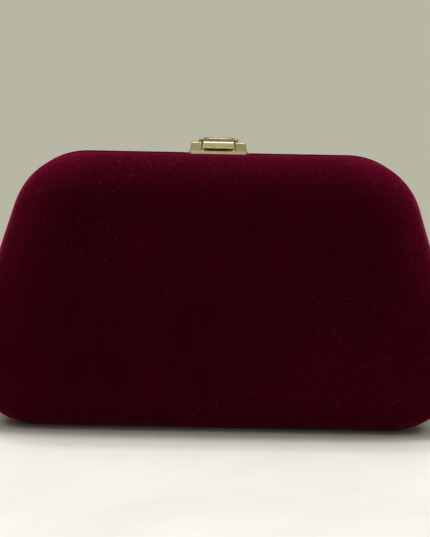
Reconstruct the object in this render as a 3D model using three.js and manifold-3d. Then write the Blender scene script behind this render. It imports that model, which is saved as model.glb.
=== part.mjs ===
// Hard-case clutch purse: two padded, velvet-covered half shells that meet on the plane y = 0,
// hinged along the bottom and held shut by a lift-lever clasp on top.
// Millimetres. +X to the right, +Y to the back, +Z up. Origin under the middle of the bottom.
import * as THREE from 'three';
import { mergeVertices } from 'three/addons/utils/BufferGeometryUtils.js';
import Module from 'manifold-3d';

const wasm = await Module();
wasm.setup();

// ---- case outline, seen from the front ----
const WIDTH = 217;
const HEIGHT = 120;
const DEPTH = 50;
const SIDE_LEAN = THREE.MathUtils.degToRad(18.5);
const TOP_RADIUS = 32;
const BOTTOM_RADIUS = 30;

// ---- section of one half: a straight wall, a soft roll, then a gently crowned face ----
const PARTING_GAP = 0.25;
const STRAIGHT_WALL = 11;
const ROLL_WIDTH = 27;
const ROLL_SQUARENESS = 2.5;
const CROWN = 0.4;
const ROLL_STEPS = 4;
const TOP_ARC_STEPS = 5;
const BOTTOM_ARC_STEPS = 7;

// ---- layers, as distances in from the outer skin ----
const COVER_THICK = 0.9;
const LAYER_GAP = 0.1;
const PAD_THICK = 2;
const PAD_FIRST_STEP = 1;
const SHELL_THICK = 1.8;
const LEAF_SPACE = 1.6;
const LINING_THICK = 0.8;

// ---- bottom hinge ----
const HINGE_Z = 2.3;
const BARREL_RADIUS = 1.6;
const HINGE_PIN_RADIUS = 0.8;
const KNUCKLE_BORE = 0.95;
const KNUCKLES = 7;
const KNUCKLE_LENGTH = 17;
const KNUCKLE_GAP = 0.3;
const LEAF_THICK = 0.7;
const LEAF_DEPTH = 9.5;
const LEAF_RELIEF = 2;
const TAB_ROOT = 0.9;
const JOIN_OVERLAP = 0.5;
const NOTCH_HALF = 2.1;
const NOTCH_TOP = 4.3;
const GROOVE_HALF = 2;
const GROOVE_TOP = 2.7;
const LEAF_RIVETS = 4;
const LEAF_RIVET_Y = 6.2;
const LEAF_RIVET_HEAD = 1.5;

// ---- clasp on top ----
const CLASP_WIDTH = 24;
const CLASP_FRONT = -9;
const CLASP_BACK = 8;
const PLATE_THICK = 1.55;
const PLATE_SETBACK = 0.45;
const BLOCK_TOP = 5.4;
const BLOCK_CHAMFER = 0.7;
const LEVER_WIDTH = 13.2;
const LEVER_CLEARANCE = 0.35;
const LEVER_TOP = 5.5;
const LIP_BOTTOM = 2.3;
const CLASP_PIN_Y = 3;
const CLASP_PIN_Z = 5;
const CLASP_PIN_RADIUS = 0.8;
const CLASP_BORE = 0.95;
const EAR_THICK = 1.35;
const EAR_RADIUS = 1.85;
const KNUCKLE_RADIUS = 2;
const REAR_PLATE_THICK = 1.2;
const CLASP_PIN_HEAD = 1.3;
const CLASP_PIN_HEAD_THICK = 0.55;
const BACKING_HALF = 9;
const BACKING_DEPTH = 4.4;
const BACKING_THICK = 0.8;
const CLASP_RIVET_X = [-4.5, 4.5];
const CLASP_RIVET_HEAD = 1.3;
const FRONT_RIVET_Y = -6.9;
const REAR_RIVET_Y = 6.3;

// ---- rivets and fits ----
const SHANK = 0.8;
const SHANK_HOLE = 0.9;
const RIVET_HEAD_THICK = 0.35;
const SEAT_GAP = 0.05;

const SEGMENTS = 14;
const RIVET_SEGMENTS = 10;

const DARK_VELVET = { color: 0x2a0510, roughness: 0.95, metalness: 0 };
const FOAM = { color: 0xd8d2c4, roughness: 0.9, metalness: 0 };
const BOARD = { color: 0x1b1a1c, roughness: 0.6, metalness: 0 };
const SATIN = { color: 0x3a0812, roughness: 0.45, metalness: 0 };
const STEEL = { color: 0xa9abad, roughness: 0.35, metalness: 1 };
const GOLD = { color: 0xd9c48a, roughness: 0.25, metalness: 1 };

const clutch = new THREE.Group();

function addNode(name, geometry, finish) {
  const mesh = new THREE.Mesh(geometry, new THREE.MeshStandardMaterial(finish));
  mesh.name = name;
  clutch.add(mesh);
  return mesh;
}

// ---- joining and cutting ----
function toSolid(geometry) {
  const bare = geometry.clone();
  for (const key of Object.keys(bare.attributes)) {
    if (key !== 'position') bare.deleteAttribute(key);
  }
  const merged = mergeVertices(bare, 1e-4);
  return new wasm.Manifold(new wasm.Mesh({
    numProp: 3,
    vertProperties: new Float32Array(merged.attributes.position.array),
    triVerts: new Uint32Array(merged.index.array),
  }));
}

function toGeometry(solid) {
  const mesh = solid.getMesh();
  const geometry = new THREE.BufferGeometry();
  geometry.setAttribute('position', new THREE.BufferAttribute(mesh.vertProperties, 3));
  geometry.setIndex(new THREE.BufferAttribute(mesh.triVerts, 1));
  return geometry;
}

function cut(geometry, ...cutters) {
  let solid = toSolid(geometry);
  for (const cutter of cutters) solid = solid.subtract(toSolid(cutter));
  return toGeometry(solid);
}

function join(...geometries) {
  return toGeometry(geometries.map(toSolid).reduce((a, b) => a.add(b)));
}

// ---- plain shapes ----
function box(x0, x1, y0, y1, z0, z1) {
  const geometry = new THREE.BoxGeometry(x1 - x0, y1 - y0, z1 - z0);
  return geometry.translate((x0 + x1) / 2, (y0 + y1) / 2, (z0 + z1) / 2);
}

// An outline of [y, z] points, run along X from x0 to x1.
function alongX(outline, x0, x1, hole) {
  const shape = new THREE.Shape(outline.map(([y, z]) => new THREE.Vector2(y, z)));
  if (hole) shape.holes.push(hole);
  const options = { depth: x1 - x0, bevelEnabled: false, curveSegments: SEGMENTS };
  const geometry = new THREE.ExtrudeGeometry(shape, options);
  geometry.applyMatrix4(new THREE.Matrix4().set(0, 0, 1, x0, 1, 0, 0, 0, 0, 1, 0, 0, 0, 0, 0, 1));
  return geometry;
}

// An outline of [x, z] points, run along Y from y0 to y1.
function alongY(outline, y0, y1) {
  const shape = new THREE.Shape(outline.map(([x, z]) => new THREE.Vector2(x, z)));
  const geometry = new THREE.ExtrudeGeometry(shape, { depth: y1 - y0, bevelEnabled: false });
  return geometry.rotateX(Math.PI / 2).translate(0, y1, 0);
}

function arc(cy, cz, radius, fromDeg, toDeg, steps) {
  const points = [];
  for (let i = 0; i <= steps; i += 1) {
    const a = THREE.MathUtils.degToRad(fromDeg + ((toDeg - fromDeg) * i) / steps);
    points.push([cy + radius * Math.cos(a), cz + radius * Math.sin(a)]);
  }
  return points;
}

function circlePath(cy, cz, radius) {
  return new THREE.Path().absarc(cy, cz, radius, 0, 2 * Math.PI, true);
}

function rodAlongX(x0, x1, y, z, radius) {
  const geometry = new THREE.CylinderGeometry(radius, radius, x1 - x0, SEGMENTS);
  return geometry.rotateZ(Math.PI / 2).translate((x0 + x1) / 2, y, z);
}

function rodAlongZ(x, y, z0, z1, radius) {
  const geometry = new THREE.CylinderGeometry(radius, radius, z1 - z0, RIVET_SEGMENTS);
  return geometry.rotateX(Math.PI / 2).translate(x, y, (z0 + z1) / 2);
}

// A turned piece about a vertical axis, from [radius, z] points that start and end on the axis.
function turned(profile, x, y) {
  const points = profile.map(([r, z]) => new THREE.Vector2(r, z));
  const geometry = new THREE.LatheGeometry(points, RIVET_SEGMENTS);
  return geometry.rotateX(Math.PI / 2).translate(x, y, 0);
}

// ---- the case outline ----
const BOTTOM_CENTRE = [WIDTH / 2 - BOTTOM_RADIUS, BOTTOM_RADIUS];
const SIDE_REACH = BOTTOM_CENTRE[0] * Math.cos(SIDE_LEAN)
  + BOTTOM_CENTRE[1] * Math.sin(SIDE_LEAN) + BOTTOM_RADIUS;
const TOP_CENTRE_Z = HEIGHT - TOP_RADIUS;
const TOP_CENTRE = [
  (SIDE_REACH - TOP_RADIUS - TOP_CENTRE_Z * Math.sin(SIDE_LEAN)) / Math.cos(SIDE_LEAN),
  TOP_CENTRE_Z,
];

// Half width of the outline's straight side at height z, drawn in by inset.
function sideX(z, inset) {
  return (SIDE_REACH - inset - z * Math.sin(SIDE_LEAN)) / Math.cos(SIDE_LEAN);
}

// The outline drawn in by inset, as [x, z] points, anticlockwise seen from the front.
function outlineAt(inset) {
  const right = [];
  const addArc = ([cx, cz], radius, from, to, steps) => {
    for (let i = 0; i <= steps; i += 1) {
      const a = from + ((to - from) * i) / steps;
      right.push([cx + radius * Math.cos(a), cz + radius * Math.sin(a)]);
    }
  };
  addArc(BOTTOM_CENTRE, BOTTOM_RADIUS - inset, -Math.PI / 2, SIDE_LEAN, BOTTOM_ARC_STEPS);
  addArc(TOP_CENTRE, TOP_RADIUS - inset, SIDE_LEAN, Math.PI / 2, TOP_ARC_STEPS);
  const left = right.map(([x, z]) => [-x, z]).reverse();
  return right.concat(left);
}

// The section of a layer, as rings [inset, depth] from a step of the roll up to the face.
function sectionRings(sideOffset, faceOffset, firstStep = 0, rimDepth = PARTING_GAP) {
  const rings = [];
  if (firstStep === 0) rings.push([sideOffset, rimDepth]);
  const faceDepth = DEPTH / 2 - CROWN;
  for (let i = firstStep; i <= ROLL_STEPS; i += 1) {
    const a = ((i / ROLL_STEPS) * Math.PI) / 2;
    const power = 2 / ROLL_SQUARENESS;
    const inset = ROLL_WIDTH - (ROLL_WIDTH - sideOffset) * Math.max(Math.cos(a), 0) ** power;
    const depth = STRAIGHT_WALL + (faceDepth - STRAIGHT_WALL - faceOffset) * Math.sin(a) ** power;
    rings.push([inset, depth]);
  }
  return rings;
}

// A closed tray between an outer and an inner section. side is -1 for the front half, 1 for the rear.
function tray(outer, inner, side) {
  const middleZ = HEIGHT / 2;
  const positions = [];
  const index = [];
  const rings = outer.slice().reverse().concat(inner);
  const count = outlineAt(0).length;
  for (const [inset, depth] of rings) {
    for (const [x, z] of outlineAt(inset)) positions.push(x, side * depth, z);
  }
  const outerPole = positions.length / 3;
  positions.push(0, side * (outer[outer.length - 1][1] + CROWN), middleZ);
  const innerPole = outerPole + 1;
  positions.push(0, side * (inner[inner.length - 1][1] + CROWN), middleZ);
  const face = (a, b, c) => (side < 0 ? index.push(a, b, c) : index.push(a, c, b));
  for (let i = 0; i < count; i += 1) {
    const j = (i + 1) % count;
    face(outerPole, i, j);
    for (let ring = 0; ring + 1 < rings.length; ring += 1) {
      const a = ring * count;
      const b = a + count;
      face(a + i, b + i, a + j);
      face(a + j, b + i, b + j);
    }
    const last = (rings.length - 1) * count;
    face(innerPole, last + j, last + i);
  }
  const geometry = new THREE.BufferGeometry();
  geometry.setAttribute('position', new THREE.Float32BufferAttribute(positions, 3));
  geometry.setIndex(index);
  return geometry;
}

// ---- layer offsets ----
const SHELL_SIDE = COVER_THICK + LAYER_GAP;
const SHELL_FACE = SHELL_SIDE + PAD_THICK + LAYER_GAP;
const SHELL_INNER = SHELL_SIDE + SHELL_THICK;
const LINING_SIDE = SHELL_INNER + LEAF_SPACE;
const LINING_FACE = SHELL_FACE + SHELL_THICK + LAYER_GAP;
// The cover turns in over the shell's edge and ends beside the lining.
const TURN_IN = LINING_SIDE - 2 * LAYER_GAP;
const COVER_RIM_INNER = PARTING_GAP + COVER_THICK;
const SHELL_RIM = COVER_RIM_INNER + LAYER_GAP;
const REACH = WIDTH;

// ---- what the hinge takes out of the bottom of each half ----
const HINGE_HALF = (KNUCKLES * KNUCKLE_LENGTH) / 2;
const HINGE_NOTCH = box(-HINGE_HALF - 1, HINGE_HALF + 1, -NOTCH_HALF, NOTCH_HALF, -1, NOTCH_TOP);
const grooveSlope = GROOVE_HALF / GROOVE_TOP;
const GROOVE = alongX(
  [[-GROOVE_HALF - grooveSlope, -1], [GROOVE_HALF + grooveSlope, -1], [0, GROOVE_TOP]],
  -REACH / 2,
  REACH / 2,
);

// ---- rivet places ----
const LEAF_BOTTOM = SHELL_INNER + LAYER_GAP;
const LEAF_TOP = LEAF_BOTTOM + LEAF_THICK;
const LEAF_RIVET_STEP = (2 * HINGE_HALF) / LEAF_RIVETS;
const leafRivetX = [...Array(LEAF_RIVETS).keys()]
  .map((i) => -HINGE_HALF + LEAF_RIVET_STEP * (i + 0.5));

function shankHoles(xs, y, z0, z1) {
  return xs.map((x) => rodAlongZ(x, y, z0, z1, SHANK_HOLE));
}

// ---- the layers and fittings of one half ----
const CLASP_BASE_Z = HEIGHT + SEAT_GAP;
const BACKING_TOP = HEIGHT - SHELL_INNER - LAYER_GAP;
const BACKING_BOTTOM = BACKING_TOP - BACKING_THICK;

function addHalf(name, side) {
  const claspY = side < 0 ? FRONT_RIVET_Y : REAR_RIVET_Y;
  const leafHoles = shankHoles(leafRivetX, side * LEAF_RIVET_Y, SHELL_SIDE - 0.5, LEAF_TOP + 1);
  const claspHoles = shankHoles(CLASP_RIVET_X, claspY, BACKING_BOTTOM - 1, HEIGHT + 4);

  const coverInner = sectionRings(COVER_THICK, COVER_THICK, 0, COVER_RIM_INNER);
  coverInner.unshift([TURN_IN, PARTING_GAP], [TURN_IN, COVER_RIM_INNER]);
  const cover = tray(sectionRings(0, 0), coverInner, side);
  addNode(`${name}_velvet_cover`, cut(cover, HINGE_NOTCH, GROOVE, ...claspHoles), DARK_VELVET);

  const padOuter = sectionRings(SHELL_SIDE, SHELL_SIDE, PAD_FIRST_STEP);
  const padInner = sectionRings(SHELL_SIDE, SHELL_FACE - LAYER_GAP, PAD_FIRST_STEP);
  addNode(`${name}_foam_pad`, tray(padOuter, padInner, side), FOAM);

  const shell = tray(
    sectionRings(SHELL_SIDE, SHELL_FACE, 0, SHELL_RIM),
    sectionRings(SHELL_INNER, SHELL_FACE + SHELL_THICK, 0, SHELL_RIM),
    side,
  );
  addNode(`${name}_shell`, cut(shell, HINGE_NOTCH, GROOVE, ...leafHoles, ...claspHoles), BOARD);

  const lining = tray(
    sectionRings(LINING_SIDE, LINING_FACE),
    sectionRings(LINING_SIDE + LINING_THICK, LINING_FACE + LINING_THICK),
    side,
  );
  addNode(`${name}_lining`, lining, SATIN);

  addHingeLeaf(name, side, leafHoles);
  addClaspBacking(name, side, claspY, claspHoles);
}

// ---- hinge ----
// Knuckle i belongs to the rear leaf when i is even, to the front leaf when i is odd.
function addHingeLeaf(name, side, holes) {
  const z0 = LEAF_BOTTOM;
  const z1 = LEAF_TOP;
  const plate = box(
    -HINGE_HALF,
    HINGE_HALF,
    Math.min(side * LEAF_RELIEF, side * LEAF_DEPTH),
    Math.max(side * LEAF_RELIEF, side * LEAF_DEPTH),
    z0,
    z1,
  );
  const pieces = [plate];
  const first = side > 0 ? 0 : 1;
  for (let i = first; i < KNUCKLES; i += 2) {
    const x0 = -HINGE_HALF + i * KNUCKLE_LENGTH + KNUCKLE_GAP / 2;
    const x1 = x0 + KNUCKLE_LENGTH - KNUCKLE_GAP;
    pieces.push(rodAlongX(x0, x1, 0, HINGE_Z, BARREL_RADIUS));
    const tab = [TAB_ROOT * side, (LEAF_RELIEF + JOIN_OVERLAP) * side];
    pieces.push(box(x0, x1, Math.min(...tab), Math.max(...tab), z0, z1));
  }
  const bore = rodAlongX(-HINGE_HALF - 1, HINGE_HALF + 1, 0, HINGE_Z, KNUCKLE_BORE);
  addNode(`${name}_hinge_leaf`, cut(join(...pieces), bore, ...holes), STEEL);
  leafRivetX.forEach((x, i) => {
    const seat = z1 + SEAT_GAP;
    const crown = seat + RIVET_HEAD_THICK;
    const rivet = [
      [0, SHELL_SIDE], [SHANK, SHELL_SIDE], [SHANK, seat],
      [LEAF_RIVET_HEAD, seat], [LEAF_RIVET_HEAD - 0.3, crown], [0, crown],
    ];
    addNode(`${name}_hinge_rivet_${i + 1}`, turned(rivet, x, side * LEAF_RIVET_Y), STEEL);
  });
}

function addHingePin() {
  const reach = HINGE_HALF + 0.4;
  addNode('hinge_pin', rodAlongX(-reach, reach, 0, HINGE_Z, HINGE_PIN_RADIUS), STEEL);
}

// ---- clasp ----
function addClaspBacking(name, side, claspY, holes) {
  const y0 = claspY - BACKING_DEPTH / 2;
  const y1 = claspY + BACKING_DEPTH / 2;
  const plate = box(-BACKING_HALF, BACKING_HALF, y0, y1, BACKING_BOTTOM, BACKING_TOP);
  addNode(`clasp_${name}_backing`, cut(plate, ...holes), STEEL);
  const top = CLASP_BASE_Z + (side < 0 ? PLATE_THICK : REAR_PLATE_THICK) + SEAT_GAP;
  const bottom = BACKING_BOTTOM - SEAT_GAP;
  const head = CLASP_RIVET_HEAD;
  CLASP_RIVET_X.forEach((x, i) => {
    const rivet = [
      [0, bottom - RIVET_HEAD_THICK], [head, bottom - RIVET_HEAD_THICK], [head, bottom],
      [SHANK, bottom], [SHANK, top], [head, top], [head - 0.3, top + RIVET_HEAD_THICK],
      [0, top + RIVET_HEAD_THICK],
    ];
    addNode(`clasp_${name}_rivet_${i + 1}`, turned(rivet, x, claspY), STEEL);
  });
}

function addClaspFrontBase() {
  const half = CLASP_WIDTH / 2;
  const inner = LEVER_WIDTH / 2 + LEVER_CLEARANCE;
  const z0 = CLASP_BASE_Z;
  const floor = z0 + PLATE_THICK;
  const top = z0 + BLOCK_TOP;
  const c = BLOCK_CHAMFER;
  const outline = [
    [-half, z0], [half, z0], [half, top - c], [half - c, top], [inner + c / 2, top],
    [inner, top - c / 2], [inner, floor], [-inner, floor], [-inner, top - c / 2],
    [-inner - c / 2, top], [-half + c, top], [-half, top - c],
  ];
  const body = alongY(outline, CLASP_FRONT, -PLATE_SETBACK);
  const holes = shankHoles(CLASP_RIVET_X, FRONT_RIVET_Y, HEIGHT - 1, floor + 1);
  addNode('clasp_front_base', cut(body, ...holes), GOLD);
}

function addClaspRearBase() {
  const inner = LEVER_WIDTH / 2 + LEVER_CLEARANCE;
  const outer = inner + EAR_THICK;
  const z0 = CLASP_BASE_Z;
  const floor = z0 + REAR_PLATE_THICK;
  const pinZ = HEIGHT + CLASP_PIN_Z;
  const plate = box(-outer, outer, PLATE_SETBACK, CLASP_BACK, z0, floor);
  const earFoot = floor - JOIN_OVERLAP;
  const ear = [[CLASP_PIN_Y - EAR_RADIUS, earFoot], [CLASP_PIN_Y + EAR_RADIUS, earFoot]]
    .concat(arc(CLASP_PIN_Y, pinZ, EAR_RADIUS, 0, 180, 8));
  const ears = [alongX(ear, -outer, -inner), alongX(ear, inner, outer)];
  const bore = rodAlongX(-outer - 1, outer + 1, CLASP_PIN_Y, pinZ, CLASP_BORE);
  const holes = shankHoles(CLASP_RIVET_X, REAR_RIVET_Y, HEIGHT - 1, floor + 1);
  addNode('clasp_rear_base', cut(join(plate, ...ears), bore, ...holes), GOLD);
}

function addClaspPin() {
  const seat = LEVER_WIDTH / 2 + LEVER_CLEARANCE + EAR_THICK + SEAT_GAP;
  const end = seat + CLASP_PIN_HEAD_THICK;
  const pinZ = HEIGHT + CLASP_PIN_Z;
  const shank = rodAlongX(-end + SEAT_GAP, end - SEAT_GAP, CLASP_PIN_Y, pinZ, CLASP_PIN_RADIUS);
  const leftHead = rodAlongX(-end, -seat, CLASP_PIN_Y, pinZ, CLASP_PIN_HEAD);
  const rightHead = rodAlongX(seat, end, CLASP_PIN_Y, pinZ, CLASP_PIN_HEAD);
  addNode('clasp_pin', join(shank, leftHead, rightHead), GOLD);
}

// The lever: a knuckle round the pin, a flat top, a rolled front edge with a finger lip,
// and a hook bar under it.
function addClaspLever() {
  const z = (height) => HEIGHT + height;
  const front = CLASP_FRONT;
  const under = LEVER_TOP - 1.1;
  const outline = arc(CLASP_PIN_Y, z(CLASP_PIN_Z), KNUCKLE_RADIUS, -150, 165, 14)
    .concat([[0.9, z(LEVER_TOP)]])
    .concat(arc(front + 1, z(LEVER_TOP - 1.2), 1.2, 90, 180, 5))
    .concat([
      [front - 0.1, z(LIP_BOTTOM + 1.1)], [front - 0.5, z(LIP_BOTTOM + 0.5)],
      [front - 0.35, z(LIP_BOTTOM)], [front + 0.5, z(LIP_BOTTOM)],
      [front + 0.9, z(LIP_BOTTOM + 0.8)], [front + 1, z(under)],
      [-5.4, z(under)], [-5.4, z(LIP_BOTTOM + 0.1)], [-4.5, z(LIP_BOTTOM + 0.5)],
      [-4.8, z(LIP_BOTTOM + 0.9)], [-4.6, z(under)], [0.9, z(under)],
    ]);
  const half = LEVER_WIDTH / 2;
  const body = alongX(outline, -half, half, circlePath(CLASP_PIN_Y, z(CLASP_PIN_Z), CLASP_BORE));
  addNode('clasp_lever', body, GOLD);
}

// A bent spring leaf on the front plate. Its nose stands behind the lever's hook bar.
function addCatchSpring() {
  const z = CLASP_BASE_Z + PLATE_THICK + 0.05;
  const outline = [
    [-0.9, z], [-0.9, z + 0.35], [-3.1, z + 0.35], [-3.5, z + 1.3], [-4.05, z + 1.75],
    [-4.35, z + 1.5], [-3.95, z + 1], [-3.7, z],
  ];
  addNode('clasp_catch_spring', alongX(outline, -4, 4), STEEL);
}

// ---- soft pieces inside ----
const GUSSET_TOP = 74;
const GUSSET_TIP = 2;
const GUSSET_DEPTH = 10;
const GUSSET_HALF = 2;
const GUSSET_CLEARANCE = 0.6;

// A side gusset folded flat between the halves: it follows the bottom corner up the side.
function addGusset(name, side) {
  const outer = LINING_SIDE + LINING_THICK + GUSSET_CLEARANCE;
  const inner = outer + GUSSET_DEPTH;
  const [cx, cz] = BOTTOM_CENTRE;
  const lean = THREE.MathUtils.radToDeg(SIDE_LEAN);
  const outline = [
    ...arc(cx, cz, BOTTOM_RADIUS - outer, -60, lean, 6),
    [sideX(GUSSET_TOP, outer), GUSSET_TOP],
    [sideX(GUSSET_TOP, outer) - GUSSET_TIP, GUSSET_TOP],
    ...arc(cx, cz, BOTTOM_RADIUS - inner, lean, -60, 6),
  ];
  const turn = side > 0 ? outline : outline.map(([x, z]) => [-x, z]).reverse();
  addNode(name, alongY(turn, -GUSSET_HALF, GUSSET_HALF), SATIN);
}

function addPocket() {
  const half = 46;
  const low = 24;
  const high = 74;
  const corner = 6;
  const outline = [
    ...arc(half - corner, low + corner, corner, -90, 0, 3),
    [half, high], [-half, high],
    ...arc(-half + corner, low + corner, corner, 180, 270, 3),
  ];
  addNode('rear_slip_pocket', alongY(outline, 16.9, 17.7), SATIN);
}

addHalf('front', -1);
addHalf('rear', 1);
addHingePin();
addClaspFrontBase();
addClaspRearBase();
addClaspPin();
addClaspLever();
addCatchSpring();
addGusset('gusset_left', -1);
addGusset('gusset_right', 1);
addPocket();

export default clutch;
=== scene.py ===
"""Looks of the hard-case velvet clutch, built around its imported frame. Metres, +Z up."""

import math

import bmesh
import bpy
import numpy as np
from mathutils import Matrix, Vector, noise


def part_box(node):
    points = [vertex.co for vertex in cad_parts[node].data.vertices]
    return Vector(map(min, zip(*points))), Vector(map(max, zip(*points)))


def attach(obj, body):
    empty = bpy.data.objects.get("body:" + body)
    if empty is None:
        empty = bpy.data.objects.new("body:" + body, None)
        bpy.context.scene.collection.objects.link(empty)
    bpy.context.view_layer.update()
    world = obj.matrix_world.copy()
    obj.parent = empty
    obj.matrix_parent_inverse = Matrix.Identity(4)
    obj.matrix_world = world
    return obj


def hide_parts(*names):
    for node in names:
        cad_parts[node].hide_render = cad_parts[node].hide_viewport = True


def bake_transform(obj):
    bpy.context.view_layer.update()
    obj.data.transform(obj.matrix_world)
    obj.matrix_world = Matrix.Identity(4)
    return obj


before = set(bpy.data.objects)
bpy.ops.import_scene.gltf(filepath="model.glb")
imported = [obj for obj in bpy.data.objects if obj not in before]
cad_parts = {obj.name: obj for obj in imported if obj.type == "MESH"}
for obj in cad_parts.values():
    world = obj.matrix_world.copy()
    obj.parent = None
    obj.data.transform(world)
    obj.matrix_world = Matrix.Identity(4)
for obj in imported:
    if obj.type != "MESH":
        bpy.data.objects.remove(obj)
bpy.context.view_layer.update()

MM = 0.001
REAR, FRONT, LEVER = "rear_half", "front_half", "clasp_lever"
SIDES = {"front": (-1, FRONT), "rear": (1, REAR)}

# ---- the case: its outer sizes from its frame, the rest as in its CAD source ----
cover_low, cover_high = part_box("rear_velvet_cover")
WIDTH = cover_high.x - cover_low.x
HEIGHT = cover_high.z
HALF_DEPTH = cover_high.y
SIDE_LEAN = math.radians(18.5)
TOP_RADIUS = 32 * MM
BOTTOM_RADIUS = 30 * MM
PARTING_GAP = 0.25 * MM
RIM_GAP = 0.005 * MM      # the covers' pile closes the rest of the parting gap
STRAIGHT_WALL = 11 * MM   # depth of the wall's flat part, from the parting plane
ROLL_WIDTH = 27 * MM      # inset where the rounded edge meets the face
ROLL_POWER = 2 / 2.5      # of the superellipse that rounds it
CROWN = 0.4 * MM          # how much the face rises to its middle
COVER_THICK = 0.9 * MM
TURN_IN = 4.2 * MM
TURN_IN_AT_HINGE = 2.6 * MM
RIM_FOLD = 0.55 * MM      # radius of the cover's fold at its rim
RIM_BEAD = 0.45 * MM      # how far the rear cover's rim stands proud along the top
LINING_SIDE = 4.4 * MM
LINING_FACE = 5.0 * MM
LINING_THICK = 0.8 * MM

# ---- the clasp and the hinge ----
CLASP_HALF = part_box("clasp_front_base")[1].x
pin_low, pin_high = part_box("hinge_pin")
HINGE_Z = (pin_low.z + pin_high.z) / 2
leaf_low, leaf_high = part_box("rear_hinge_leaf")
HINGE_HALF = leaf_high.x
LEAF_TOP = leaf_high.z
BARREL_RADIUS = HINGE_Z - leaf_low.z
NOTCH_HALF = 1.95 * MM    # the covers' notch round the barrels
NOTCH_START, NOTCH_FADE = 0.5 * MM, 1.5 * MM
GROOVE_TOP = 2.7 * MM     # the groove under the covers' rims, which lets the case open
GROOVE_SLOPE = 0.74

# The covers' attribute, from 0 to 2. Up to 1 it is the open pile on the bend of the edge, with its
# painted sheen and light. Past 1 it is painted light from above at the upper corners, and painted
# floor bounce along the bottom edge.
OPEN_PILE_AND_PAINTED_LIGHT = "open_pile_and_painted_light"


def smooth(edge0, edge1, x):
    """A smooth step from 0 at edge0 to 1 at edge1."""
    t = np.clip((x - edge0) / (edge1 - edge0), 0, 1)
    return t * t * (3 - 2 * t)


# -------- material nodes --------


class Nodes:
    """A material's node tree, with short calls for the nodes used here."""

    def __init__(self, name):
        self.material = bpy.data.materials.new(name)
        self.material.use_nodes = True
        self.tree = self.material.node_tree
        self.shader = self.tree.nodes["Principled BSDF"]
        self.point = self.tree.nodes.new("ShaderNodeTexCoord").outputs["Object"]

    def link(self, source, target):
        self.tree.links.new(source, target)

    def scaled(self, x, y, z):
        """The object's coordinates, scaled along each axis."""
        node = self.tree.nodes.new("ShaderNodeMapping")
        node.inputs["Scale"].default_value = (x, y, z)
        self.link(self.point, node.inputs["Vector"])
        return node.outputs["Vector"]

    def noise(self, scale, detail=2.0, rough=0.5, vector=None, distortion=0.0):
        node = self.tree.nodes.new("ShaderNodeTexNoise")
        node.inputs["Scale"].default_value = scale
        node.inputs["Detail"].default_value = detail
        node.inputs["Roughness"].default_value = rough
        node.inputs["Distortion"].default_value = distortion
        self.link(vector or self.point, node.inputs["Vector"])
        return node.outputs["Fac"]

    def attribute(self, name):
        node = self.tree.nodes.new("ShaderNodeAttribute")
        node.attribute_name = name
        return node.outputs["Fac"]

    def diagonal_wave(self, scale, distortion, vector=None):
        node = self.tree.nodes.new("ShaderNodeTexWave")
        node.bands_direction = "DIAGONAL"
        node.inputs["Scale"].default_value = scale
        node.inputs["Distortion"].default_value = distortion
        self.link(vector or self.point, node.inputs["Vector"])
        return node.outputs["Fac"]

    def cells(self, scale):
        node = self.tree.nodes.new("ShaderNodeTexVoronoi")
        node.inputs["Scale"].default_value = scale
        self.link(self.point, node.inputs["Vector"])
        return node.outputs["Distance"]

    def ramp(self, value, low, high, out_low=0.0, out_high=1.0):
        """value moved from the range low to high into out_low to out_high, and kept in it."""
        node = self.tree.nodes.new("ShaderNodeMapRange")
        node.inputs["From Min"].default_value = low
        node.inputs["From Max"].default_value = high
        node.inputs["To Min"].default_value = out_low
        node.inputs["To Max"].default_value = out_high
        self.link(value, node.inputs["Value"])
        return node.outputs["Result"]

    def maths(self, operation, a, b):
        node = self.tree.nodes.new("ShaderNodeMath")
        node.operation = operation
        for socket, value in zip(node.inputs, (a, b)):
            if isinstance(value, (int, float)):
                socket.default_value = value
            else:
                self.link(value, socket)
        return node.outputs["Value"]

    def mix(self, factor, first, second):
        """A colour between first and second; each is a colour or another node's output."""
        node = self.tree.nodes.new("ShaderNodeMix")
        node.data_type = "RGBA"
        self.link(factor, node.inputs["Factor"])
        for socket, value in zip((node.inputs[6], node.inputs[7]), (first, second)):
            if isinstance(value, tuple):
                socket.default_value = (*value, 1)
            else:
                self.link(value, socket)
        return node.outputs[2]

    def bump(self, height, distance, strength=1.0, under=None):
        node = self.tree.nodes.new("ShaderNodeBump")
        node.inputs["Strength"].default_value = strength
        node.inputs["Distance"].default_value = distance
        self.link(height, node.inputs["Height"])
        if under is not None:
            self.link(under, node.inputs["Normal"])
        return node.outputs["Normal"]

    def set(self, **values):
        """Values of the shader's own sockets, by their names in lower case with underscores."""
        for name, value in values.items():
            socket = self.shader.inputs[name.replace("_", " ").title().replace("Ior", "IOR")]
            socket.default_value = (*value, 1) if isinstance(value, tuple) else value

    def feed(self, name, source):
        """Links a node's output to one of the shader's sockets."""
        self.link(source, self.shader.inputs[name])


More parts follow.
